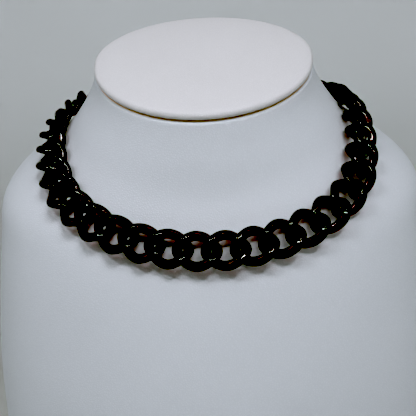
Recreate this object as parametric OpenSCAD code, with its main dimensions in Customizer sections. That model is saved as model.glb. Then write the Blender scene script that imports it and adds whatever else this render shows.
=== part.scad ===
// Cuban link chain necklace of clear wine red acrylic on a white neck bust.
// The base stands on z = 0, its middle is the origin, and the chest looks along -Y.

/* [Chain] */
// Distance between the middles of two neighbouring links
link_pitch = 10.5; // [10:0.1:10.8]
// Number of acrylic links, the clasp closes the rest of the loop
link_count = 38; // [36:1:39]
// Width of a link's wire, in the plane of the link
wire_d = 3.7; // [3:0.1:3.9]
// Thickness of the wire, through the link
wire_t = 2.9; // [2.6:0.1:3.8]
// Height of the band of links, over the wire
band_h = 14.9; // [14:0.1:17]
// Clearance where one link hangs in the next
link_gap = 0.7; // [0.6:0.05:1]
// Turn of a link's ends against its middle, in degrees
end_twist = 46; // [44:1:52]
// How far the middle of the links lies right of the front centre, seen from the front
chain_shift = -2.6; // [-5:0.2:5]

/* [Clasp] */
// Diameter of the clasp's wire
clasp_wire_d = 2.6; // [2:0.1:3]
// Diameter of the sleeve on the clasp's upper side
clasp_sleeve_d = 4.2; // [3:0.1:5]
// Height of the clasp's oval, over the wire
clasp_h = 14; // [13:0.1:15.5]

/* [Lie of the chain] */
// Level on the bust where the chain crosses the front
level_front = 142; // [138:0.5:146]
// How much higher the level is at the back of the neck
level_back_rise = 21.5; // [18:0.5:30]
// How much the chain is raised at each side, over an even rise from front to back
level_side_rise = 11.6; // [6:0.2:13]
// How much it is raised where it climbs the shoulders, and lowered past the sides
level_shoulder_rise = 4.5; // [3:0.1:6]
// How much higher it lies at a viewer's right side, and lower at the left side
level_right_rise = 1; // [-2:0.1:2]
// How far it has slipped down between the right side and the back
level_slip = 5.5; // [0:0.5:9]
// How far the band's upper edge leans away from the neck at the sides, in degrees
side_lean = 4; // [0:0.5:8]
// Clearance between the links and the bust
seat_gap = 0.3; // [0.2:0.05:1]

/* [Bust] */
// How far the neck's axis lies behind the middle of the base
neck_back = 7.5; // [5:0.5:10]
// Radius of the edge round the base
base_round = 2.5; // [1:0.5:4]
// Thickness of the cap at its rim
cap_rim_t = 3.4; // [2.5:0.1:5]
// How much the padded cap rises from its rim to its middle
cap_crown = 2; // [0.5:0.1:4]
// How far the cap's rim stands back from the neck's edge
cap_inset = 0; // [0:0.1:2]
// Gap between the neck and the cap
cap_gap = 0.5; // [0.2:0.05:0.8]

/* [Hidden] */

function link_name(i) = str("link_", i < 10 ? "0" : "", i);

// The shape of the bust, a row for each level from the base up to the neck.
// level: height on the neck's axis; lean: how fast a section rises towards the back;
// half_w: half its width; front and back: its reach from the neck's axis;
// square: 2 makes the back half of the section an oval, 3 a squarer form.
bust_rows = [
    // level, lean, half_w, front, back, square
    [0,   0,    105,   73,   58,   3],
    [32,  0.03, 104.8, 72.5, 58,   3],
    [67,  0.08, 103,   71,   57.5, 3],
    [102, 0.16, 98.4,  66,   56,   3],
    [126, 0.22, 94.4,  61,   54,   2.9],
    [142, 0.28, 90.8,  55.8, 51,   2.6],
    [153, 0.32, 79,    50.6, 48,   2.3],
    [160, 0.35, 68.7,  48,   45.5, 2.1],
    [166, 0.37, 60.9,  46.8, 43,   2],
    [173, 0.38, 55,    46,   40.5, 2],
    [180, 0.39, 50.2,  45.2, 38.5, 2],
    [186, 0.4,  47.2,  44.7, 37.2, 2],
    [191, 0.42, 45.9,  44.5, 36.4, 2]
];
LEAN = 1;
HALF_W = 2;
FRONT = 3;
BACK = 4;
SQUARE = 5;
last_row = len(bust_rows) - 1;
neck_top = bust_rows[last_row][0];

// Points round each section of the bust and the cap, and steps from row to row
round_steps = 48;
row_steps = 3;
// Points along a link and round its wire
link_steps = 16;
wire_sides = 6;
// Samples along the loop that the chain follows
path_steps = 240;
// Small steps that the slope of the bust is measured with
level_probe = 0.01;
angle_probe = 0.05;

function unit(v) = v / norm(v);
function bend(x, power) = sign(x) * pow(abs(x), power);

// A smooth curve through one column of bust_rows, at any level
function row_under(level, i = 0) =
    i >= last_row - 1 || level < bust_rows[i + 1][0] ? i : row_under(level, i + 1);
function row_slope(col, i, lo, hi) =
    (bust_rows[hi][col] - bust_rows[lo][col]) / (bust_rows[hi][0] - bust_rows[lo][0]);
function slope_at(col, i) = row_slope(col, i, max(i - 1, 0), min(i + 1, last_row));
function column_at(col, level) =
    let (
        i = row_under(level),
        step = bust_rows[i + 1][0] - bust_rows[i][0],
        t = (level - bust_rows[i][0]) / step
    )
    (2 * t^3 - 3 * t^2 + 1) * bust_rows[i][col]
    + (t^3 - 2 * t^2 + t) * step * slope_at(col, i)
    + (3 * t^2 - 2 * t^3) * bust_rows[i + 1][col]
    + (t^3 - t^2) * step * slope_at(col, i + 1);

// A point on the bust: angle 0 is the front, 90 the right hand side of a viewer there
function bust_point(level, angle, inset = 0) =
    let (
        behind = cos(angle) < 0,
        power = behind ? 2 / column_at(SQUARE, level) : 1,
        reach = column_at(behind ? BACK : FRONT, level) - inset,
        across = (column_at(HALF_W, level) - inset) * bend(sin(angle), power),
        along = -reach * bend(cos(angle), power)
    )
    [across, neck_back + along, level + column_at(LEAN, level) * along];

// The direction that the bust's surface faces
function bust_normal(level, angle) =
    unit(cross(
        bust_point(level, angle + angle_probe) - bust_point(level, angle - angle_probe),
        bust_point(level + level_probe, angle) - bust_point(level - level_probe, angle)
    ));

// The loop that the links' middles follow, just off the bust
bar_h = (band_h - wire_d) / 2;
bar_l = (link_pitch + wire_d + link_gap) / 2;
// How far the wire reaches from its link's middle towards the bust
function twist_reach(s) =
    let (turn = end_twist * cos(s))
    bar_h * sin(s) * sin(turn) + norm([wire_t * cos(turn), wire_d * sin(turn)]) / 2;
path_lift = max([for (s = [0 : 2 : 90]) twist_reach(s)]) + seat_gap;
function path_level(angle) =
    level_front
    + level_back_rise * (1 - cos(angle)) / 2
    + level_side_rise * sin(angle)^2
    + level_shoulder_rise * (cos(angle) - cos(3 * angle)) / 2
    + level_right_rise * (sin(angle) - sin(3 * angle)) / 2
    - (angle > 90 ? level_slip * sin(2 * (angle - 90))^2 : 0);
function band_lean(angle) = side_lean * sin(angle)^2;
path_angles = [for (k = [0 : path_steps]) -180 + 360 * k / path_steps];
path_normals = [for (a = path_angles) bust_normal(path_level(a), a)];
path_points = [
    for (k = [0 : path_steps])
        bust_point(path_level(path_angles[k]), path_angles[k]) + path_lift * path_normals[k]
];
path_lengths = [
    for (k = 0, run = 0; k <= path_steps;
         run = run + (k < path_steps ? norm(path_points[k + 1] - path_points[k]) : 0), k = k + 1)
        run
];
loop_length = path_lengths[path_steps];
path_leans = [for (k = [0 : path_steps]) [path_lengths[k], band_lean(path_angles[k])]];

// A value along the loop; places run from the back of the neck past the front
function along_path(values, place) =
    [
        for (axis = [0 : 2])
            lookup(place, [for (k = [0 : path_steps]) [path_lengths[k], values[k][axis]]])
    ];
function wrapped(place) = place - loop_length * floor(place / loop_length);
function loop_point(place) = along_path(path_points, wrapped(place));
// Where a link sits: its middle, its long direction, away from the bust, and up the band
tangent_probe = link_pitch / 4;
function seat_at(place) =
    let (
        middle = loop_point(place),
        long = unit(loop_point(place + tangent_probe) - loop_point(place - tangent_probe)),
        facing = along_path(path_normals, wrapped(place)),
        flat = unit(facing - (facing * long) * long),
        lean = lookup(wrapped(place), path_leans),
        out = cos(lean) * flat - sin(lean) * cross(flat, long)
    )
    [middle, long, out, cross(out, long)];
function link_place(i) =
    loop_length / 2 + chain_shift + (i - (link_count + 1) / 2) * link_pitch;

// A twisted oval of wire: half_l and half_h are its half length and half height to the
// wire's middle, and halves are the wire's half thickness and half width
function oval_at(half_l, half_h, s) =
    let (turn = -end_twist * cos(s))
    [half_l * cos(s), half_h * sin(s) * sin(turn), half_h * sin(s) * cos(turn)];
function oval_ring(half_l, half_h, s, halves) =
    let (
        turn = -end_twist * cos(s),
        probe = 0.5,
        ahead = unit(oval_at(half_l, half_h, s + probe) - oval_at(half_l, half_h, s - probe)),
        flat = [0, cos(turn), -sin(turn)],
        side = unit(flat - (flat * ahead) * ahead),
        other = cross(ahead, side),
        middle = oval_at(half_l, half_h, s)
    )
    [
        for (j = [0 : wire_sides - 1])
            let (a = 360 * j / wire_sides)
            middle + halves[0] * cos(a) * side + halves[1] * sin(a) * other
    ];
function placed(p, seat) = seat[0] + p[0] * seat[1] + p[1] * seat[2] + p[2] * seat[3];

// Two triangles for each patch between ring a and ring b of a given number of points
function band_faces(a, b, sides) =
    [
        for (j = [0 : sides - 1])
            let (n = (j + 1) % sides)
            each [
                [a * sides + j, a * sides + n, b * sides + n],
                [a * sides + j, b * sides + n, b * sides + j]
            ]
    ];

module wire_oval(half_l, half_h, sections, seat) {
    steps = len(sections);
    rings = [
        for (i = [0 : steps - 1])
            each [for (p = oval_ring(half_l, half_h, 360 * i / steps, sections[i])) placed(p, seat)]
    ];
    faces = [for (i = [0 : steps - 1]) each band_faces(i, (i + 1) % steps, wire_sides)];
    polyhedron(points = rings, faces = faces, convexity = 6);
}

// A closed form from rings of points, with a flat face at each end
module stacked_rings(rings) {
    sides = len(rings[0]);
    count = len(rings);
    skin = [for (i = [0 : count - 2]) each band_faces(i, i + 1, sides)];
    bottom = [for (j = [1 : sides - 2]) [0, j + 1, j]];
    first = (count - 1) * sides;
    top = [for (j = [1 : sides - 2]) [first, first + j, first + j + 1]];
    polyhedron(
        points = [for (ring = rings) each ring],
        faces = concat(skin, bottom, top),
        convexity = 8
    );
}

// The bust: chest, shoulders and neck in one smooth form, with a small round at the base
round_parts = 3;
base_rings = [
    for (k = [0 : round_parts - 1])
        let (a = 90 * k / round_parts)
        [base_round * (1 - cos(a)), base_round * (1 - sin(a))]
];
module bust_body() {
    edge_levels = [for (r = base_rings) r[0]];
    edge_insets = [for (r = base_rings) r[1]];
    body_levels = [
        for (i = [0 : last_row - 1], k = [0 : row_steps - 1])
            let (level = bust_rows[i][0] + k / row_steps * (bust_rows[i + 1][0] - bust_rows[i][0]))
            max(level, base_round)
    ];
    levels = concat(edge_levels, body_levels, [neck_top]);
    insets = concat(edge_insets, [for (level = body_levels) 0], [0]);
    color("#e3e5e8")
    stacked_rings([
        for (i = [0 : len(levels) - 1])
            [
                for (j = [0 : round_steps - 1])
                    bust_point(levels[i], -360 * j / round_steps, insets[i])
            ]
    ]);
}

// The cap: an oval padded disc that lies on the slope of the neck's top.
// Its rings step in from the rim and rise at right angles to that slope.
cap_rings = [
    // inset, rise
    [1.3, 0],
    [0.4, 0.4],
    [0, 1.2],
    [0, cap_rim_t - 1.3],
    [0.35, cap_rim_t - 0.5],
    [1.3, cap_rim_t],
    [6, cap_rim_t + 0.4 * cap_crown],
    [14, cap_rim_t + 0.75 * cap_crown],
    [25, cap_rim_t + 0.95 * cap_crown],
    [34, cap_rim_t + cap_crown]
];
neck_lean = bust_rows[last_row][LEAN];
cap_up = unit([0, -neck_lean, 1]);
module bust_cap() {
    color("#eceef0")
    stacked_rings([
        for (r = cap_rings)
            [
                for (j = [0 : round_steps - 1])
                    bust_point(neck_top, -360 * j / round_steps, cap_inset + r[0])
                    + (cap_gap + r[1]) * cap_up
            ]
    ]);
}

// One acrylic link of the chain, counted from the back round the viewer's left
module link(i) {
    wire = [for (k = [1 : link_steps]) [wire_t / 2, wire_d / 2]];
    color("#4a0c12")
    wire_oval(bar_l, bar_h, wire, seat_at(link_place(i)));
}

// The clasp: one plain ring that closes the loop behind the neck, with a thicker
// sleeve along the middle of its upper side
clasp_span = loop_length - (link_count - 1) * link_pitch;
clasp_half_l = clasp_span / 2 - bar_l + (wire_d + clasp_wire_d) / 2 + link_gap;
clasp_half_h = (clasp_h - clasp_wire_d) / 2;
sleeve_from = 55;
module clasp() {
    wire = [
        for (k = [0 : link_steps - 1])
            let (
                s = 360 * k / link_steps,
                radius = (s > sleeve_from && s < 180 - sleeve_from ? clasp_sleeve_d : clasp_wire_d) / 2
            )
            [radius, radius]
    ];
    color("#b9bcc0")
    wire_oval(clasp_half_l, clasp_half_h, wire, seat_at(chain_shift));
}

bust_body();
bust_cap();
for (i = [1 : link_count])
    link(i);
clasp();
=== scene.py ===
# %% [markdown]
# # A cuban link chain on a neck bust
#
# The object is a short necklace of clear, dark wine red acrylic links. It lies round
# the neck of a white display bust, and a small metal clasp closes it at the back. The
# CAD model gives every size and place. This lesson lays smooth, finely meshed pieces
# over its solids, gives each piece a finish, and lights the whole as in the photograph.

# %% [markdown]
# ## The frame
#
# The packed CAD model is loaded first and never changes. It is in metres, stands on
# z = 0 and looks along -Y. The part's source thinks in millimetres, and so do the
# tables below, so one factor turns them into metres.

# %% Load the frame
import math

import bpy
import numpy as np
from mathutils import Matrix, Vector


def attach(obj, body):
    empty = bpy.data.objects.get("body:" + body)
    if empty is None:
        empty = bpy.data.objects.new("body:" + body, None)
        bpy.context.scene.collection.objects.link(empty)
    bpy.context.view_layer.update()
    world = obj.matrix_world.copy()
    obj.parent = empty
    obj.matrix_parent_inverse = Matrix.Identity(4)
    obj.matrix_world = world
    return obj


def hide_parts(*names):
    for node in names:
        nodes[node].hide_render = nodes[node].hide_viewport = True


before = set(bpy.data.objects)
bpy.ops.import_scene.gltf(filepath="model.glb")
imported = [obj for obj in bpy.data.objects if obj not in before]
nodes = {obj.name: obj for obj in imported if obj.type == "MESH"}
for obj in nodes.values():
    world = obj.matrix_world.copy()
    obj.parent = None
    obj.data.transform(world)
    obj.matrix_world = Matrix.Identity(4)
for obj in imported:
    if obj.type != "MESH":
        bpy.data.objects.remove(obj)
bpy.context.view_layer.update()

MM = 0.001
print("CAD nodes:", len(nodes))

# %% [markdown]
# ## Helpers for pieces
#
# Every piece here is a skin of points and faces that a function works out. Blender's
# own operators could draw shapes as well, but they act on whatever is selected, and
# data is easier to follow. One helper makes a mesh of the skin: faces that look inwards
# are turned round, and edges sharper than a chosen angle stay crisp. The other puts the
# mesh into the scene, where it rides on the CAD body and stands for its node.

# %% Make a piece
BODY = "root"
SHARP = math.radians(50)


def signed_volume(points, faces):
    """Above zero where the faces of a closed skin look outwards."""
    total = 0.0
    for face in faces:
        a = points[face[0]]
        for j in range(1, len(face) - 1):
            total += float(np.dot(a, np.cross(points[face[j]], points[face[j + 1]])))
    return total / 6


def skin_mesh(name, points, faces):
    """A smooth shaded mesh from points in metres."""
    if signed_volume(points, faces) < 0:
        faces = [tuple(reversed(face)) for face in faces]
    mesh = bpy.data.meshes.new(name)
    mesh.from_pydata([tuple(p) for p in points], [], faces)
    mesh.update()
    mesh.shade_smooth()
    mesh.set_sharp_from_angle(angle=SHARP)
    return mesh


def place_piece(name, mesh, node, place=None):
    """Puts a mesh into the scene as the piece that stands for a CAD node."""
    piece = bpy.data.objects.new(name, mesh)
    bpy.context.scene.collection.objects.link(piece)
    if place is not None:
        piece.matrix_world = place
    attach(piece, BODY)
    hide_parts(node)
    return piece


# %% [markdown]
# The skins all come from rings of points, stacked on each other like the hoops of a
# barrel. So two more helpers join rings with quads and close the ends of a stack.

# %% Join rings into a skin
def band_faces(rings, around, closed=False):
    """Quads from each ring of points to the next. Closed joins the last to the first."""
    faces = []
    for r in range(rings if closed else rings - 1):
        low, high = r * around, (r + 1) % rings * around
        for k in range(around):
            n = (k + 1) % around
            faces.append((low + k, low + n, high + n, high + k))
    return faces


def closed_stack(rings):
    """Points and faces of a stack of rings, with a fan to a middle point at each end."""
    around = len(rings[0])
    points = [p for ring in rings for p in ring]
    faces = band_faces(len(rings), around)
    for first, ring in ((0, rings[0]), ((len(rings) - 1) * around, rings[-1])):
        middle = len(points)
        points.append(np.mean(ring, axis=0))
        for k in range(around):
            n = (k + 1) % around
            fan = (first + k, first + n, middle)
            faces.append(fan if first else tuple(reversed(fan)))
    return np.array(points), faces


# %% [markdown]
# ## The form of the bust
#
# On the real display a stiff form is covered with white leatherette, pulled smooth, so
# the chest, the shoulders and the neck flow into each other with no hard edge. A pile
# of boxes or a sculpted sphere would never give that flow. A loft does: the table has
# a section of the bust at each of thirteen levels, and a smooth curve through each
# column gives a section at any level between. The part's source has the same table.

# %% Sections of the bust
# in mm: level, lean (a slope), half width, front reach and back reach, then the
# squareness of the back, where 2 is an ellipse
BUST_ROWS = np.array([
    [0, 0, 105, 73, 58, 3],
    [32, 0.03, 104.8, 72.5, 58, 3],
    [67, 0.08, 103, 71, 57.5, 3],
    [102, 0.16, 98.4, 66, 56, 3],
    [126, 0.22, 94.4, 61, 54, 2.9],
    [142, 0.28, 90.8, 55.8, 51, 2.6],
    [153, 0.32, 79, 50.6, 48, 2.3],
    [160, 0.35, 68.7, 48, 45.5, 2.1],
    [166, 0.37, 60.9, 46.8, 43, 2],
    [173, 0.38, 55, 46, 40.5, 2],
    [180, 0.39, 50.2, 45.2, 38.5, 2],
    [186, 0.4, 47.2, 44.7, 37.2, 2],
    [191, 0.42, 45.9, 44.5, 36.4, 2],
])
LEVEL, LEAN, HALF_W, FRONT, BACK, SQUARE = range(6)
# how far behind the origin the middle of each section lies (mm)
NECK_BACK = 7.5
NECK_TOP = BUST_ROWS[-1, LEVEL]


def cubic(a, b, leave, arrive, step, t):
    """A share t of the way from a to b, over a step, with the slopes at its two ends."""
    return (
        (2 * t**3 - 3 * t**2 + 1) * a
        + (t**3 - 2 * t**2 + t) * step * leave
        + (3 * t**2 - 2 * t**3) * b
        + (t**3 - t**2) * step * arrive
    )


def column_at(column, level):
    """A smooth curve through one column of the table, at any level."""
    x, y = BUST_ROWS[:, LEVEL], BUST_ROWS[:, column]
    slope = np.concatenate((
        [(y[1] - y[0]) / (x[1] - x[0])],
        (y[2:] - y[:-2]) / (x[2:] - x[:-2]),
        [(y[-1] - y[-2]) / (x[-1] - x[-2])],
    ))
    i = min(max(int(np.searchsorted(x, level, side="right")) - 1, 0), len(x) - 2)
    step = x[i + 1] - x[i]
    return cubic(y[i], y[i + 1], slope[i], slope[i + 1], step, (level - x[i]) / step)


def section(level, angles, inset=0.0):
    """Points round the bust at one level, in mm. Angle 0 is the front, 90 is +X."""
    turn = np.radians(angles)
    behind = np.cos(turn) < 0
    power = np.where(behind, 2 / column_at(SQUARE, level), 1.0)
    reach = np.where(behind, column_at(BACK, level), column_at(FRONT, level)) - inset
    across = np.sign(np.sin(turn)) * np.abs(np.sin(turn)) ** power
    along = -np.sign(np.cos(turn)) * np.abs(np.cos(turn)) ** power
    x = (column_at(HALF_W, level) - inset) * across
    y = NECK_BACK + reach * along
    z = level + column_at(LEAN, level) * reach * along
    return np.stack((x, y, z), axis=1)


neck_sizes = [round(float(v), 1) for v in BUST_ROWS[-1, HALF_W:SQUARE]]
print("neck top, half width and reach to the front and back:", neck_sizes)

# %% [markdown]
# ## The cover of the bust
#
# The leatherette wraps round the edge of the base, and at the top it is drawn over the
# rim of the neck. A Bevel modifier could round both edges too, but a few rings for each
# keep every point on a section of the form. The sides get a ring about every
# millimetre, so that the outline of the shoulders has no corners in it.

# %% Build the cover
AROUND = 192
ROUND_RINGS = 6
# in mm: between rings, the two rounds, and how far in the top's last ring lies
RING_STEP = 1.2
BASE_ROUND = 2.5
LIP_ROUND = 1.3
TOP_RING_INSET = 9.0

angles = np.arange(AROUND) * 360 / AROUND


def quarter(part):
    """Sine and cosine of a share of a quarter turn."""
    return math.sin(part * math.pi / 2), math.cos(part * math.pi / 2)


def cover_rings():
    """Rings of the bust's cover, from the underside of the base to the neck's top."""
    rings = []
    for k in range(ROUND_RINGS):
        sine, cosine = quarter(k / ROUND_RINGS)
        rings.append(section(BASE_ROUND * (1 - cosine), angles, BASE_ROUND * (1 - sine)))
    top = NECK_TOP - LIP_ROUND
    for level in np.linspace(BASE_ROUND, top, round((top - BASE_ROUND) / RING_STEP) + 1):
        rings.append(section(level, angles))
    for k in range(1, ROUND_RINGS + 1):
        sine, cosine = quarter(k / ROUND_RINGS)
        rings.append(section(top + LIP_ROUND * sine, angles, LIP_ROUND * (1 - cosine)))
    rings.append(section(NECK_TOP, angles, TOP_RING_INSET))
    return rings


cover_points, cover_faces = closed_stack(cover_rings())
cover_mesh = skin_mesh("bust_cover", cover_points * MM, cover_faces)
place_piece("bust_cover", cover_mesh, "bust_body")
print("cover faces:", len(cover_faces))

# %% [markdown]
# ## The cap
#
# A padded oval closes the neck: a board under a thin layer of foam, with leatherette
# drawn round its rim and tucked under. The top is nearly flat, the rim is a soft
# round, and the drawn leatherette puckers a little low on the rim. Cloth simulation
# puffs up a full cushion well, but this thin foam hardly swells, so the cap's shape
# is given. The profile is a short table of insets and rises with a curve through it,
# and the puckers are a few sine waves that only reach the lower rim.

# %% Build the cap
CAP_GAP = 0.5
# how far in from the rim, and how far up from the cap's underside (mm)
CAP_PROFILE = np.array([
    [9, 0.02], [1.5, 0], [0.5, 0.35], [0.03, 1.1], [0.05, 1.9], [0.5, 2.75], [1.5, 3.3],
    [3.6, 3.8], [7, 4.3], [14, 4.9], [24, 5.3], [33, 5.4],
])
PROFILE_STEPS = 6
# in mm: how far up and how far in the puckers reach, and how deep they are
PUCKER_TOP = 2.2
PUCKER_INSET = 2
PUCKER_DEPTH = 0.07
# how many waves go round the rim, their share of the depth, and where they start
PUCKERS = ((47, 1.0, 0.4), (71, 0.7, 2.1), (113, 0.5, 4.0))

neck_lean = BUST_ROWS[-1, LEAN]
cap_up = np.array([0, -neck_lean, 1]) / math.hypot(neck_lean, 1)


def smooth_through(table, steps):
    """Points on a curve through each row of a table, with no overshoot between close rows."""
    path = []
    for i in range(len(table) - 1):
        a, b = table[i], table[i + 1]
        before = table[max(i - 1, 0)]
        after = table[min(i + 2, len(table) - 1)]
        # steps of the square root of each distance are what prevents the overshoot
        gap = [np.linalg.norm(q - p) ** 0.5 for p, q in ((before, a), (a, b), (b, after))]
        gap[0] = gap[0] or gap[1]
        gap[2] = gap[2] or gap[1]
        leave = (a - before) / gap[0] - (b - before) / (gap[0] + gap[1]) + (b - a) / gap[1]
        arrive = (b - a) / gap[1] - (after - a) / (gap[1] + gap[2]) + (after - b) / gap[2]
        path += [cubic(a, b, leave, arrive, gap[1], k / steps) for k in range(steps)]
    path.append(table[-1])
    return path


def cap_ring(inset, rise):
    """One ring of the cap, with its puckers where the ring is low on the rim."""
    wave = sum(
        share * np.sin(np.radians(count * angles) + start) for count, share, start in PUCKERS
    )
    low = max(0.0, 1 - rise / PUCKER_TOP) if inset < PUCKER_INSET else 0.0
    # the puckers go in by shares of this step of one millimetre
    edge = section(NECK_TOP, angles, max(inset, 0))
    inwards = section(NECK_TOP, angles, max(inset, 0) + 1) - edge
    return edge + (PUCKER_DEPTH * low * wave)[:, None] * inwards + (CAP_GAP + rise) * cap_up


cap_rings = [cap_ring(inset, rise) for inset, rise in smooth_through(CAP_PROFILE, PROFILE_STEPS)]
cap_points, cap_faces = closed_stack(cap_rings)
cap_mesh = skin_mesh("cap_cover", cap_points * MM, cap_faces)
cap_cover = place_piece("cap_cover", cap_mesh, "bust_cap")
print("cap faces:", len(cap_faces))

# %% [markdown]
# ## Where each link sits
#
# A chain could be laid out again here along its path, but the frame already says where
# every link is. The CAD link is the same when turned half round about its length, its
# height or its thickness. So the mean of its corners is its middle, and the directions
# in which the corners spread most, less and least are its length, its height and its
# thickness. Two of them fix the third, and the twist always runs the right way.

# %% Read a seat from a CAD node
# corners that agree to this many decimals of a millimetre are one corner
CORNER_DECIMALS = 3


def seat_of(node):
    """Middle, axes and corners of a link, in mm. The axes are length, inwards and up."""
    corners = np.array([v.co for v in nodes[node].data.vertices], float) / MM
    corners = np.unique(corners.round(CORNER_DECIMALS), axis=0)
    middle = corners.mean(axis=0)
    _, axes = np.linalg.eigh(np.cov((corners - middle).T))
    length, up = axes[:, 2], axes[:, 1]
    if up[2] < 0:
        up = -up
    inwards = np.cross(up, length)
    if np.dot(inwards[:2], middle[:2] - [0, NECK_BACK]) > 0:
        length, inwards = -length, -inwards
    return middle, np.stack((length, inwards, up), axis=1), corners


LINKS = sorted(n for n in nodes if n.startswith("link_"))
seats = {n: seat_of(n) for n in LINKS + ["clasp"]}
print("links:", len(LINKS), "middle of the first:", seats[LINKS[0]][0].round(1))

# %% [markdown]
# ## A twisted link
#
# Each link is an oval ring of slightly flattened wire, bent so that its two ends stand
# turned against its middle. That twist is what lets a row of such rings lie flat as a
# band, each one half over the next. A Blender curve with a bevel could sweep a wire
# too, but its tilt would have to be set at every point. Here the centre line is an oval
# whose height axis turns as it runs to an end, and an oval of the wire's thickness and
# width is swept along it.

# %% The oval and its wire
TWIST = math.radians(46)
# in mm; the gap is the room between the end of a link and its neighbour's end inside it
WIRE_WIDTH, WIRE_THICKNESS = 3.7, 2.9
LINK_PITCH = 10.5
LINK_GAP = 0.7
BAND_H = 14.9
BAR_L = (LINK_PITCH + WIRE_WIDTH + LINK_GAP) / 2
BAR_H = (BAND_H - WIRE_WIDTH) / 2
OVAL_STEPS = 80
WIRE_STEPS = 24
# how far to look ahead and back for the wire's direction (radians)
PROBE = 0.01


def oval_at(half_l, half_h, s):
    """Centre line of a twisted oval at angles s: length, inwards, up."""
    turn = TWIST * np.cos(s)
    return np.stack(
        (half_l * np.cos(s), half_h * np.sin(s) * np.sin(turn), half_h * np.sin(s) * np.cos(turn)),
        axis=-1,
    )


def wire_axes(half_l, half_h, s):
    """The wire's middle at an angle s, and the directions of its thickness and width."""
    ahead = oval_at(half_l, half_h, s + PROBE) - oval_at(half_l, half_h, s - PROBE)
    ahead /= np.linalg.norm(ahead)
    turn = TWIST * math.cos(s)
    side = np.array([0, math.cos(turn), -math.sin(turn)])
    side -= np.dot(side, ahead) * ahead
    side /= np.linalg.norm(side)
    return oval_at(half_l, half_h, s), side, np.cross(ahead, side)


def wire_oval(half_l, half_h, halves_at):
    """Rings of points round the wire of a twisted oval, in mm."""
    about = np.arange(WIRE_STEPS) * 2 * math.pi / WIRE_STEPS
    rings = []
    for s in np.arange(OVAL_STEPS) * 2 * math.pi / OVAL_STEPS:
        middle, side, other = wire_axes(half_l, half_h, s)
        thick, wide = halves_at(s)
        rings.append(
            middle + thick * np.outer(np.cos(about), side) + wide * np.outer(np.sin(about), other)
        )
    return rings


def wire_mesh(name, rings):
    """A closed tube through the rings."""
    faces = band_faces(len(rings), len(rings[0]), closed=True)
    return skin_mesh(name, np.array([p for ring in rings for p in ring]) * MM, faces)


print("middle line of a link, half length and half height:", round(BAR_L, 2), round(BAR_H, 2))

# %% [markdown]
# The lesson's links have to lie where the solids do. So before any link is laid, the
# corners of all the CAD links are held against the smooth wire. The solids have a wire
# with six sides, and its corners should lie right on the smooth one.

# %% Hold the wire against the CAD links
SEARCH_STEPS = 720


def link_halves(s):
    """Half the thickness and half the width of a link's wire, the same all round."""
    return WIRE_THICKNESS / 2, WIRE_WIDTH / 2


def off_the_wire(seat):
    """How far a CAD link's corners lie off the smooth wire, in mm."""
    middle, axes, corners = seat
    around = np.linspace(0, 2 * math.pi, SEARCH_STEPS + 1)
    line = oval_at(BAR_L, BAR_H, around)
    worst = 0.0
    for corner in (corners - middle) @ axes:
        s = around[np.linalg.norm(line - corner, axis=1).argmin()]
        centre, side, other = wire_axes(BAR_L, BAR_H, s)
        thick, wide = link_halves(s)
        off = corner - centre
        reach = math.hypot(np.dot(off, side) / thick, np.dot(off, other) / wide)
        worst = max(worst, abs(reach - 1) * wide)
    return worst


farthest = max(off_the_wire(seats[n]) for n in LINKS)
print("CAD corners lie off the smooth wire by at most", round(farthest, 3), "mm")

# %% [markdown]
# All the links are one shape, so they share one mesh, and each object only adds its
# place. The acrylic is moulded, and every link comes from the same mould.

# %% Lay the links
link_mesh = wire_mesh("acrylic_link", wire_oval(BAR_L, BAR_H, link_halves))


def place_at(seat):
    """The object matrix of a seat."""
    middle, axes, _ = seat
    matrix = Matrix(axes.tolist()).to_4x4()
    matrix.translation = Vector(middle * MM)
    return matrix


for n in LINKS:
    place_piece("acrylic_" + n, link_mesh, n, place_at(seats[n]))
print("faces of a link:", len(link_mesh.polygons), "links laid:", link_mesh.users)

# %% [markdown]
# ## The clasp
#
# Behind the neck, out of the picture, a plated ring closes the loop. It is one plain
# piece, with a thicker sleeve along its upper side where a finger would push it open.
# It could be a torus and a tube, but then its ends wouldn't turn as those of the links
# do. So it is the same twisted oval with a thinner wire, and its length is read off the
# CAD node: there the wire has six sides, whose corners reach a little less than a radius.

# %% Build the clasp
# in mm
CLASP_WIRE_D = 2.6
CLASP_SLEEVE_D = 4.2
CLASP_H = 14.0
# the share of its radius that the wire with six sides reaches at the clasp's ends
SIX_SIDED_REACH = math.sin(math.radians(60))
SLEEVE_HALF = math.radians(35)
SLEEVE_EDGE = math.radians(4)

clasp_middle, clasp_axes, clasp_corners = seats["clasp"]
clasp_along = (clasp_corners - clasp_middle) @ clasp_axes[:, 0]
clasp_half_l = (clasp_along.max() - clasp_along.min()) / 2 - CLASP_WIRE_D / 2 * SIX_SIDED_REACH
clasp_half_h = (CLASP_H - CLASP_WIRE_D) / 2


def clasp_halves(s):
    """Wire, or sleeve on the upper side, with a short round step between them."""
    off = abs(s - math.pi / 2)
    step = min(max((SLEEVE_HALF - off) / SLEEVE_EDGE, 0), 1)
    radius = (CLASP_WIRE_D + (CLASP_SLEEVE_D - CLASP_WIRE_D) * step * (2 - step)) / 2
    return radius, radius


clasp_mesh = wire_mesh("clasp_ring", wire_oval(clasp_half_l, clasp_half_h, clasp_halves))
place_piece("clasp_ring", clasp_mesh, "clasp", place_at(seats["clasp"]))
print("clasp half length:", round(float(clasp_half_l), 2), "mm")

# %% [markdown]
# ## Shader maths
#
# A finish is a web of nodes. Wired one by one they hide what they do, so a small class
# wraps a socket and lets plain Python expressions build the Math nodes.

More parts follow.
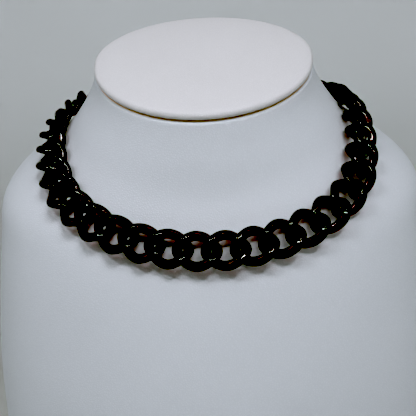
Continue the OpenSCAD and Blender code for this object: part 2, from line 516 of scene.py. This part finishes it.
# %% Sockets that can be reckoned with
class Flow:
    """An output socket of a finish. Sums and products of it add Math nodes."""

    def __init__(self, finish, socket):
        self.finish = finish
        self.socket = socket

    def reckon(self, operation, first, second):
        return self.finish.node("ShaderNodeMath", {"operation": operation}, {0: first, 1: second})

    def __add__(self, other):
        return self.reckon("ADD", self, other)

    def __radd__(self, other):
        return self.reckon("ADD", other, self)

    def __sub__(self, other):
        return self.reckon("SUBTRACT", self, other)

    def __rsub__(self, other):
        return self.reckon("SUBTRACT", other, self)

    def __mul__(self, other):
        return self.reckon("MULTIPLY", self, other)

    def __rmul__(self, other):
        return self.reckon("MULTIPLY", other, self)


# %% [markdown]
# Every other node comes from one method: it takes the node's type, its settings and the
# values or links of its sockets. Short names for the nodes that come up most often keep
# the finishes easy to read.

# %% A finish and its nodes
# a Mix node has its sockets once for each kind of value, so those for colours go by place
MIX_SHARE, MIX_FIRST, MIX_SECOND, MIX_RESULT = 0, 6, 7, 2


class Finish:
    """A material in the making."""

    def __init__(self, name):
        self.material = bpy.data.materials.new(name)
        self.material.use_nodes = True
        self.tree = self.material.node_tree
        self.tree.nodes.clear()

    def node(self, kind, settings, sockets, out=0):
        """Adds a node: settings first, then values or links of its sockets."""
        made = self.tree.nodes.new(kind)
        for name, value in settings.items():
            setattr(made, name, value)
        for name, value in sockets.items():
            if isinstance(value, Flow):
                self.tree.links.new(value.socket, made.inputs[name])
            else:
                made.inputs[name].default_value = value
        return Flow(self, made.outputs[out]) if made.outputs else None

    def position(self):
        """The place on the piece, in metres, in its own frame."""
        return self.node("ShaderNodeTexCoord", {}, {}, out="Object")

    def noise(self, place, per_metre, detail, rough=0.5, out=0):
        """Soft random values from 0 to 1, or colours of them."""
        sockets = {"Vector": place, "Scale": per_metre, "Detail": detail, "Roughness": rough}
        return self.node("ShaderNodeTexNoise", {}, sockets, out)

    def blend(self, share, first, second):
        """A colour between two."""
        sockets = {MIX_SHARE: share, MIX_FIRST: first, MIX_SECOND: second}
        return self.node("ShaderNodeMix", {"data_type": "RGBA"}, sockets, MIX_RESULT)

    def bump(self, height, depth):
        """A normal from heights of 0 to 1 that stand for a depth in metres."""
        return self.node("ShaderNodeBump", {}, {"Height": height, "Distance": depth})

    def principled(self, sockets):
        """The surface of nearly every real material."""
        return self.node("ShaderNodeBsdfPrincipled", {}, sockets)

    def close(self, surface, volume=None):
        """Ends the web: the surface, and what fills the inside."""
        sockets = {"Surface": surface}
        if volume is not None:
            sockets["Volume"] = volume
        self.node("ShaderNodeOutputMaterial", {}, sockets)
        return self.material


print("short names for nodes:", [n for n in vars(Finish) if not n.startswith("_")])

# %% [markdown]
# ## White leatherette
#
# The cover is a soft vinyl with a pressed leather grain: small rounded pebbles less
# than a millimetre wide with narrow valleys between them. From the photograph's
# distance it is almost smooth, and only a slow, faint mottling of tone shows. Close up
# the pebbles have to be there. Noise alone gives lumps with no valleys, so they are a
# Voronoi pattern in the bump, bent by a little noise so that no two are alike, and the
# valleys are a touch darker and duller.

# %% The leatherette finish
# how many fit in a metre
MOTTLES = 22.0
PEBBLES = 1150.0
PEBBLE_CRUMBS = PEBBLES * 2.4
PEBBLE_BENDS = PEBBLES * 0.8
# shares of a pebble's width: how far its edge is bent, and where its crown begins
BEND_SHARE = 0.35
CROWN_SHARE = 0.32
# in metres
GRAIN_DEPTH = 0.00004
VINYL_IOR = 1.46
VINYL_SPECULAR = 0.2


def leatherette(name, deep, pale, roughness):
    """White vinyl, deep in its valleys and pale on its pebbles."""
    finish = Finish(name)
    place = finish.position()
    mottle = finish.noise(place, MOTTLES, detail=2.0)
    crumbs = finish.noise(place, PEBBLE_CRUMBS, detail=2.0)
    bends = finish.noise(place, PEBBLE_BENDS, detail=1.0, out="Color")
    wander = finish.node(
        "ShaderNodeVectorMath", {"operation": "SCALE"}, {0: bends, "Scale": BEND_SHARE / PEBBLES}
    )
    bent = finish.node("ShaderNodeVectorMath", {"operation": "ADD"}, {0: place, 1: wander})
    edge = finish.node(
        "ShaderNodeTexVoronoi", {"feature": "DISTANCE_TO_EDGE"},
        {"Vector": bent, "Scale": PEBBLES},
    )
    crown = finish.node(
        "ShaderNodeMapRange", {"interpolation_type": "SMOOTHSTEP"},
        {"Value": edge, "From Min": 0.0, "From Max": CROWN_SHARE},
    )
    # half of the tone comes from the slow mottling and a third from the pebbles
    return finish.close(finish.principled({
        "Base Color": finish.blend(mottle * 0.5 + crown * 0.35 + 0.1, deep, pale),
        "Normal": finish.bump(crown * 0.8 + crumbs * 0.2, GRAIN_DEPTH),
        "Roughness": roughness + (1 - crown) * 0.08 + (mottle - 0.5) * 0.06,
        "IOR": VINYL_IOR,
        "Specular IOR Level": VINYL_SPECULAR,
    }))


# deep and pale
CHEST_TONES = (0.72, 0.75, 0.79, 1), (0.80, 0.83, 0.87, 1)
CAP_TONES = (0.76, 0.755, 0.77, 1), (0.83, 0.825, 0.84, 1)
chest_white = leatherette("chest_leatherette", *CHEST_TONES, roughness=0.5)
cap_white = leatherette("cap_leatherette", *CAP_TONES, roughness=0.48)
print("leatherettes:", chest_white.name, cap_white.name)

# %% [markdown]
# ## Painted shade under the cap
#
# A thin brown line runs below the cap. The top of the neck, in the gap under the cap,
# is painted a flecked, dull brown, which is painted shade: it makes that shade line
# brown. One rough noise does for the flecks, because so little of it shows.

# %% The painted shade under the cap
# flecks in a metre, and how deep they are in metres
SHADE_FLECKS = 700.0
SHADE_FLECK_DEPTH = 0.0001
# painted shade: deep and pale brown for the shade line below the cap
GAP_SHADE_TONES = (0.88, 0.62, 0.46, 1), (0.96, 0.76, 0.60, 1)


def gap_shade_finish(name):
    """A flecked dull brown, painted shade for the line below the cap."""
    finish = Finish(name)
    flecks = finish.noise(finish.position(), SHADE_FLECKS, detail=4.0, rough=0.7)
    return finish.close(finish.principled({
        "Base Color": finish.blend(flecks, *GAP_SHADE_TONES),
        "Roughness": 0.8 + flecks * 0.1,
        "Normal": finish.bump(flecks, SHADE_FLECK_DEPTH),
    }))


# the painted shade that goes in the gap below the cap
painted_gap_shade = gap_shade_finish("painted_gap_shade")
print("board:", painted_gap_shade.name)

# %% [markdown]
# ## Wine red acrylic
#
# The links are clear acrylic, but so deeply dyed that a few millimetres swallow nearly
# all light: the wire looks black, and only where the way through is short does it glow
# red. Red painted on the rims would be wrong as soon as the camera moves. So the surface
# is real glass-like acrylic with a red tint, and the dye is a volume inside it that
# absorbs green fastest, blue half as fast and red slowest. Moulding leaves faint waves
# and handling leaves a few dull smears, which break up the thin highlights.

# %% The acrylic finish
TINT = (0.95, 0.2, 0.5, 1)
DYE = (0.74, 0.0, 0.5, 1)
DYE_PER_METRE = 3000.0
ACRYLIC_IOR = 1.49
# waves and smears in a metre, and how deep the waves are in metres
WAVES = 260.0
SMEARS = 120.0
WAVE_DEPTH = 0.000003
# the noise value where a smear begins and where it is full, and the roughness there
SMEAR_RANGE = {"From Min": 0.45, "From Max": 0.8, "To Min": 0.05, "To Max": 0.1}


def acrylic(name):
    """Clear plastic with a dye in it."""
    finish = Finish(name)
    place = finish.position()
    waves = finish.noise(place, WAVES, detail=2.0)
    smears = finish.noise(place, SMEARS, detail=4.0, rough=0.65)
    dull = finish.node("ShaderNodeMapRange", {}, {"Value": smears, **SMEAR_RANGE})
    surface = finish.principled({
        "Base Color": TINT,
        "Roughness": dull,
        "Normal": finish.bump(waves, WAVE_DEPTH),
        "IOR": ACRYLIC_IOR,
        "Transmission Weight": 1.0,
    })
    dye = finish.node("ShaderNodeVolumeAbsorption", {}, {"Color": DYE, "Density": DYE_PER_METRE})
    return finish.close(surface, dye)


wine_acrylic = acrylic("wine_acrylic")
print("acrylic:", wine_acrylic.name)

# %% [markdown]
# ## Plated metal
#
# The clasp is brass with a bright silver coloured plating. A perfect mirror would look
# false: tumbling and wear leave fine short scratches, which spread its reflections, and
# a slightly warmer tone where fingers have rubbed it. Noise that is squeezed across the
# ring gives scratches that run along it.

# %% The plating finish
# rubbed spots and scratches in a metre, and how deep the scratches are in metres
RUBS = 180.0
SCRATCHES = 900.0
SCRATCH_SQUEEZE = (1.0, 9.0, 9.0)
SCRATCH_DEPTH = 0.00001
PLATING_TONES = (0.72, 0.73, 0.75, 1), (0.80, 0.79, 0.76, 1)


def plating(name):
    """Bright plated metal with fine scratches."""
    finish = Finish(name)
    place = finish.position()
    rub = finish.noise(place, RUBS, detail=3.0)
    squeezed = finish.node("ShaderNodeMapping", {}, {"Vector": place, "Scale": SCRATCH_SQUEEZE})
    scratches = finish.noise(squeezed, SCRATCHES, detail=3.0, rough=0.7)
    return finish.close(finish.principled({
        "Base Color": finish.blend(rub, *PLATING_TONES),
        "Metallic": 1.0,
        "Roughness": 0.14 + scratches * 0.14 + rub * 0.05,
        "Normal": finish.bump(scratches, SCRATCH_DEPTH),
    }))


silver_plating = plating("silver_plating")
print("plating:", silver_plating.name)

# %% [markdown]
# ## Dressing the pieces
#
# Each piece has one finish, but for the bust's cover: its top, below the cap, is painted
# brown as painted shade. A disc laid on the neck could carry that brown, but it would
# stand in the gap below the cap. So the faces of the top take a second finish.

# %% Hand out the finishes
# how far below the neck's top the brown painted shade reaches (mm)
GAP_SHADE_DEPTH = 0.15

for mesh, finishes in (
    (cover_mesh, (chest_white, painted_gap_shade)),
    (cap_mesh, (cap_white,)),
    (link_mesh, (wine_acrylic,)),
    (clasp_mesh, (silver_plating,)),
):
    for finish in finishes:
        mesh.materials.append(finish)
    print(mesh.name, "gets", [finish.name for finish in finishes])

# the faces at the neck's top, in the gap below the cap, take the brown painted shade
neck_level = float((section(NECK_TOP, angles) @ cap_up).mean()) - GAP_SHADE_DEPTH
gap_shade_faces = [f for f in cover_mesh.polygons if np.dot(f.center, cap_up) / MM > neck_level]
for face in gap_shade_faces:
    face.material_index = cover_mesh.materials.find(painted_gap_shade.name)
print("faces of bare board:", len(gap_shade_faces))

# %% [markdown]
# ## Floor and backdrop
#
# A plain pale sweep: the floor curves up into a wall on every side, so no line crosses
# the picture behind the bust, and the bust can be looked at from all round. The wall is
# close enough to give back a little soft light. It is not part of the object.

# %% Build the sweep
# in metres: how far the flat floor reaches, the radius of the curve, the wall's top
SWEEP_FLOOR, SWEEP_CURVE, SWEEP_TOP = 0.9, 0.5, 2.6
SWEEP_CURVE_STEPS, SWEEP_TURN_STEPS = 24, 72


def sweep_profile():
    """Distances from the middle and heights: the curve, then the wall's top."""
    line = []
    for k in range(SWEEP_CURVE_STEPS + 1):
        sine, cosine = quarter(k / SWEEP_CURVE_STEPS)
        line.append((SWEEP_FLOOR + SWEEP_CURVE * sine, SWEEP_CURVE * (1 - cosine)))
    return line + [(SWEEP_FLOOR + SWEEP_CURVE, SWEEP_TOP)]


sweep_line = sweep_profile()
sweep_turns = [2 * math.pi * n / SWEEP_TURN_STEPS for n in range(SWEEP_TURN_STEPS)]
sweep_points = [
    (out * math.cos(turn), out * math.sin(turn), z) for out, z in sweep_line for turn in sweep_turns
]
# the floor is one face, and the quads of the wall are turned to look inwards
sweep_faces = [tuple(range(SWEEP_TURN_STEPS))]
sweep_faces += [(a, d, c, b) for a, b, c, d in band_faces(len(sweep_line), SWEEP_TURN_STEPS)]
sweep_mesh = bpy.data.meshes.new("pale_sweep")
sweep_mesh.from_pydata(sweep_points, [], sweep_faces)
sweep_mesh.shade_smooth()
pale_sweep = bpy.data.objects.new("pale_sweep", sweep_mesh)
bpy.context.scene.collection.objects.link(pale_sweep)
print("sweep faces:", len(sweep_faces))

# %% The sweep's paper
# faint clouds of tone in a metre
PAPER_CLOUDS = 3.0
PAPER_TONES = (0.70, 0.71, 0.70, 1), (0.74, 0.75, 0.74, 1)

paper = Finish("pale_paper")
clouds = paper.noise(paper.position(), PAPER_CLOUDS, detail=2.0)
sweep_mesh.materials.append(paper.close(paper.principled({
    "Base Color": paper.blend(clouds, *PAPER_TONES),
    "Roughness": 0.9,
    "Specular IOR Level": 0.1,
})))
print("paper:", paper.material.name)

# %% [markdown]
# ## Light
#
# The shadows below the links have level lower edges with small bright gaps between the
# links, so the light is long, thin and high in front. A round lamp or a big soft box
# would blur those edges. Two tubes stand about 50 degrees up, left and right of the
# middle, and a weaker panel stands higher. Side fills keep the shoulders from going
# dark. The streaks on the links are brighter and lie lower than the right tube would
# draw them, so its own reflection is switched off, and one more tube only adds gloss.

# %% Set the lamps
CHAIN_FRONT = Vector((0, -0.05, 0.15))


def from_front(turn, height, distance):
    """A place seen from the chain's front: degrees to the right, degrees up, metres."""
    t, h = math.radians(turn), math.radians(height)
    out = Vector((math.sin(t) * math.cos(h), -math.cos(t) * math.cos(h), math.sin(h)))
    return CHAIN_FRONT + distance * out


def lamp(name, end_a, end_b, width, watts, colour, aim=CHAIN_FRONT):
    """A straight lamp from one place to another that shines at an aim."""
    middle = (end_a + end_b) / 2
    along = (end_b - end_a).normalized()
    away = middle - aim
    away = (away - away.dot(along) * along).normalized()
    data = bpy.data.lights.new(name, "AREA")
    data.shape = "RECTANGLE"
    data.size, data.size_y = (end_b - end_a).length, width
    data.energy = watts
    data.color = colour
    made = bpy.data.objects.new(name, data)
    made.matrix_world = Matrix((along, away.cross(along), away)).transposed().to_4x4()
    made.location = middle
    bpy.context.scene.collection.objects.link(made)
    return made


COOL = (0.93, 0.935, 1.0)
ROSY = (1.0, 0.94, 1.0)
# name, degrees to the right and up of both ends, distance and width (m), watts, colour
LAMPS = (
    ("left_tube", (-54, 49), (-28, 51), 0.85, 0.04, 1.72, COOL),
    ("right_tube", (6, 51), (46, 49), 0.85, 0.04, 2.48, COOL),
    ("high_panel", (-10, 62), (20, 62), 0.7, 0.06, 0.66, COOL),
    ("left_fill", (-84, 38), (-72, 38), 1.1, 0.3, 1.0, COOL),
    ("right_fill", (72, 38), (84, 38), 1.1, 0.3, 0.85, COOL),
    ("gloss_tube", (-32, 47), (38, 31), 1.3, 0.05, 7.5, ROSY),
)
lamps = {
    name: lamp(name, from_front(*end_a, distance), from_front(*end_b, distance), *rest)
    for name, end_a, end_b, distance, *rest in LAMPS
}
lamps["right_tube"].visible_glossy = False
lamps["gloss_tube"].visible_diffuse = False
lamps["gloss_tube"].visible_transmission = False
print("lamps:", ", ".join(lamps))

# %% [markdown]
# The backdrop gets a wash of its own from a lamp behind the bust, so that the bust
# can't shade it, and a dim yellowish world takes the blue out of the deepest shadows.
# The camera that took the photograph crushed its darkest tones, so the black level is
# raised by the same amount, and the dyed links come out black but for their rims.

# %% Light the backdrop and set the tones
# in metres
WASH_ENDS = Vector((-0.8, 0.35, 0.9)), Vector((0.8, 0.35, 0.9))
WASH_AIM = Vector((0.0, 1.4, 0.15))
WASH_WIDTH = 0.3
WASH_WATTS = 3.3
WASH_COLOUR = (0.85, 0.885, 1.0)
WASH_SPREAD = math.radians(120)
WORLD_COLOUR = (0.95, 0.92, 0.3, 1)
WORLD_STRENGTH = 0.03
BLACK_LEVEL = (0.096, 0.091, 0.12)

wash = lamp("backdrop_wash", *WASH_ENDS, WASH_WIDTH, WASH_WATTS, WASH_COLOUR, aim=WASH_AIM)
wash.data.spread = WASH_SPREAD

world = bpy.data.worlds.new("studio")
world.use_nodes = True
background = world.node_tree.nodes["Background"]
background.inputs["Color"].default_value = WORLD_COLOUR
background.inputs["Strength"].default_value = WORLD_STRENGTH
bpy.context.scene.world = world

view = bpy.context.scene.view_settings
view.view_transform = "Standard"
view.use_curve_mapping = True
view.curve_mapping.black_level = BLACK_LEVEL
print("black level:", [round(c, 3) for c in view.curve_mapping.black_level])

# %% [markdown]
# ## Camera
#
# The photograph was taken from close in front, looking down a little, which is why the
# cap looks so round and the shoulders fall away. The place, the three turns and the
# focal length come from fitting the CAD model's links and outlines to the photograph.

# %% Set the camera
# the picture and the focal length in pixels, the sensor in mm, the nearest view in m
IMAGE = 416
FOCAL_PX = 600.0
SENSOR = 36.0
NEAREST = 0.01
# the place in mm, the turns in degrees
CAMERA_PLACE = (2.0, -254.7, 207.1)
PAN, TILT, ROLL = (math.radians(a) for a in (0.74, 17.19, 3.13))

camera_data = bpy.data.cameras.new("camera")
camera_data.sensor_width = SENSOR
camera_data.sensor_fit = "HORIZONTAL"
camera_data.lens = FOCAL_PX / IMAGE * SENSOR
camera_data.clip_start = NEAREST
camera = bpy.data.objects.new("camera", camera_data)

pan = Matrix.Rotation(PAN, 3, "Z")
tilt = Matrix.Rotation(-TILT, 3, "X")
roll = Matrix.Rotation(ROLL, 3, "Y")
right, forward, up = (pan @ tilt @ roll).col
stand = Matrix((right, up, -forward)).transposed().to_4x4()
stand.translation = Vector(CAMERA_PLACE) * MM
camera.matrix_world = stand
bpy.context.scene.collection.objects.link(camera)
bpy.context.scene.camera = camera
print("lens:", round(camera_data.lens, 2), "mm, looking along", [round(c, 3) for c in forward])

# %% [markdown]
